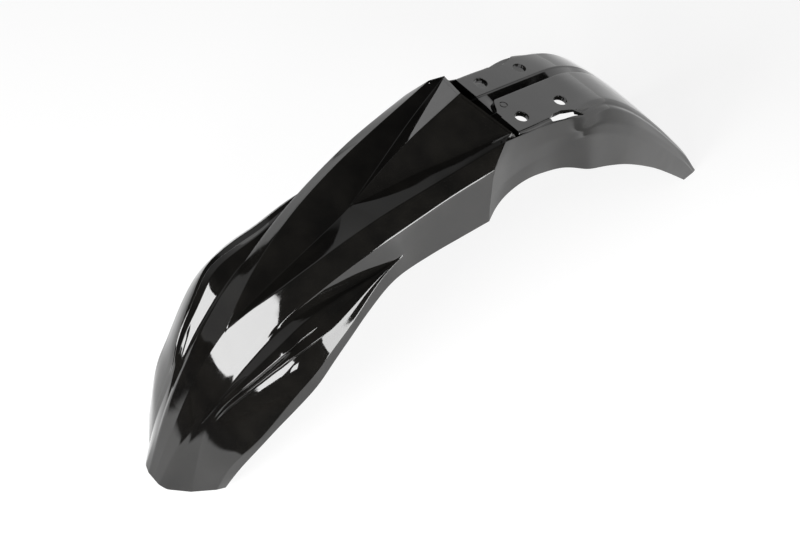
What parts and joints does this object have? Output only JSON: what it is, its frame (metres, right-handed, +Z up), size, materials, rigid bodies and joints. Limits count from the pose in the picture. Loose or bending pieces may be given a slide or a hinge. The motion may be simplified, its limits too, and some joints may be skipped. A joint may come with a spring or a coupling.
{
  "type": "motorcycle front mudguard",
  "caption": "One-piece moulded front mudguard for an off-road motorcycle: creased nose with side wings, recessed bolt pad with a groove and side slots, and a curved rear flap.",
  "frame": {"origin": "on the ground, midway between the tip of the nose and the tail edge, on the middle plane", "axes": "+Y towards the tail with the nose at -Y, +Z up, X across the guard"},
  "size_m": [0.1816, 0.709, 0.2826],
  "materials": {
    "shell": "smooth high-gloss moulded black"
  },
  "bodies": {
    "root": {"mudguard": "shell"}
  },
  "joints": []
}
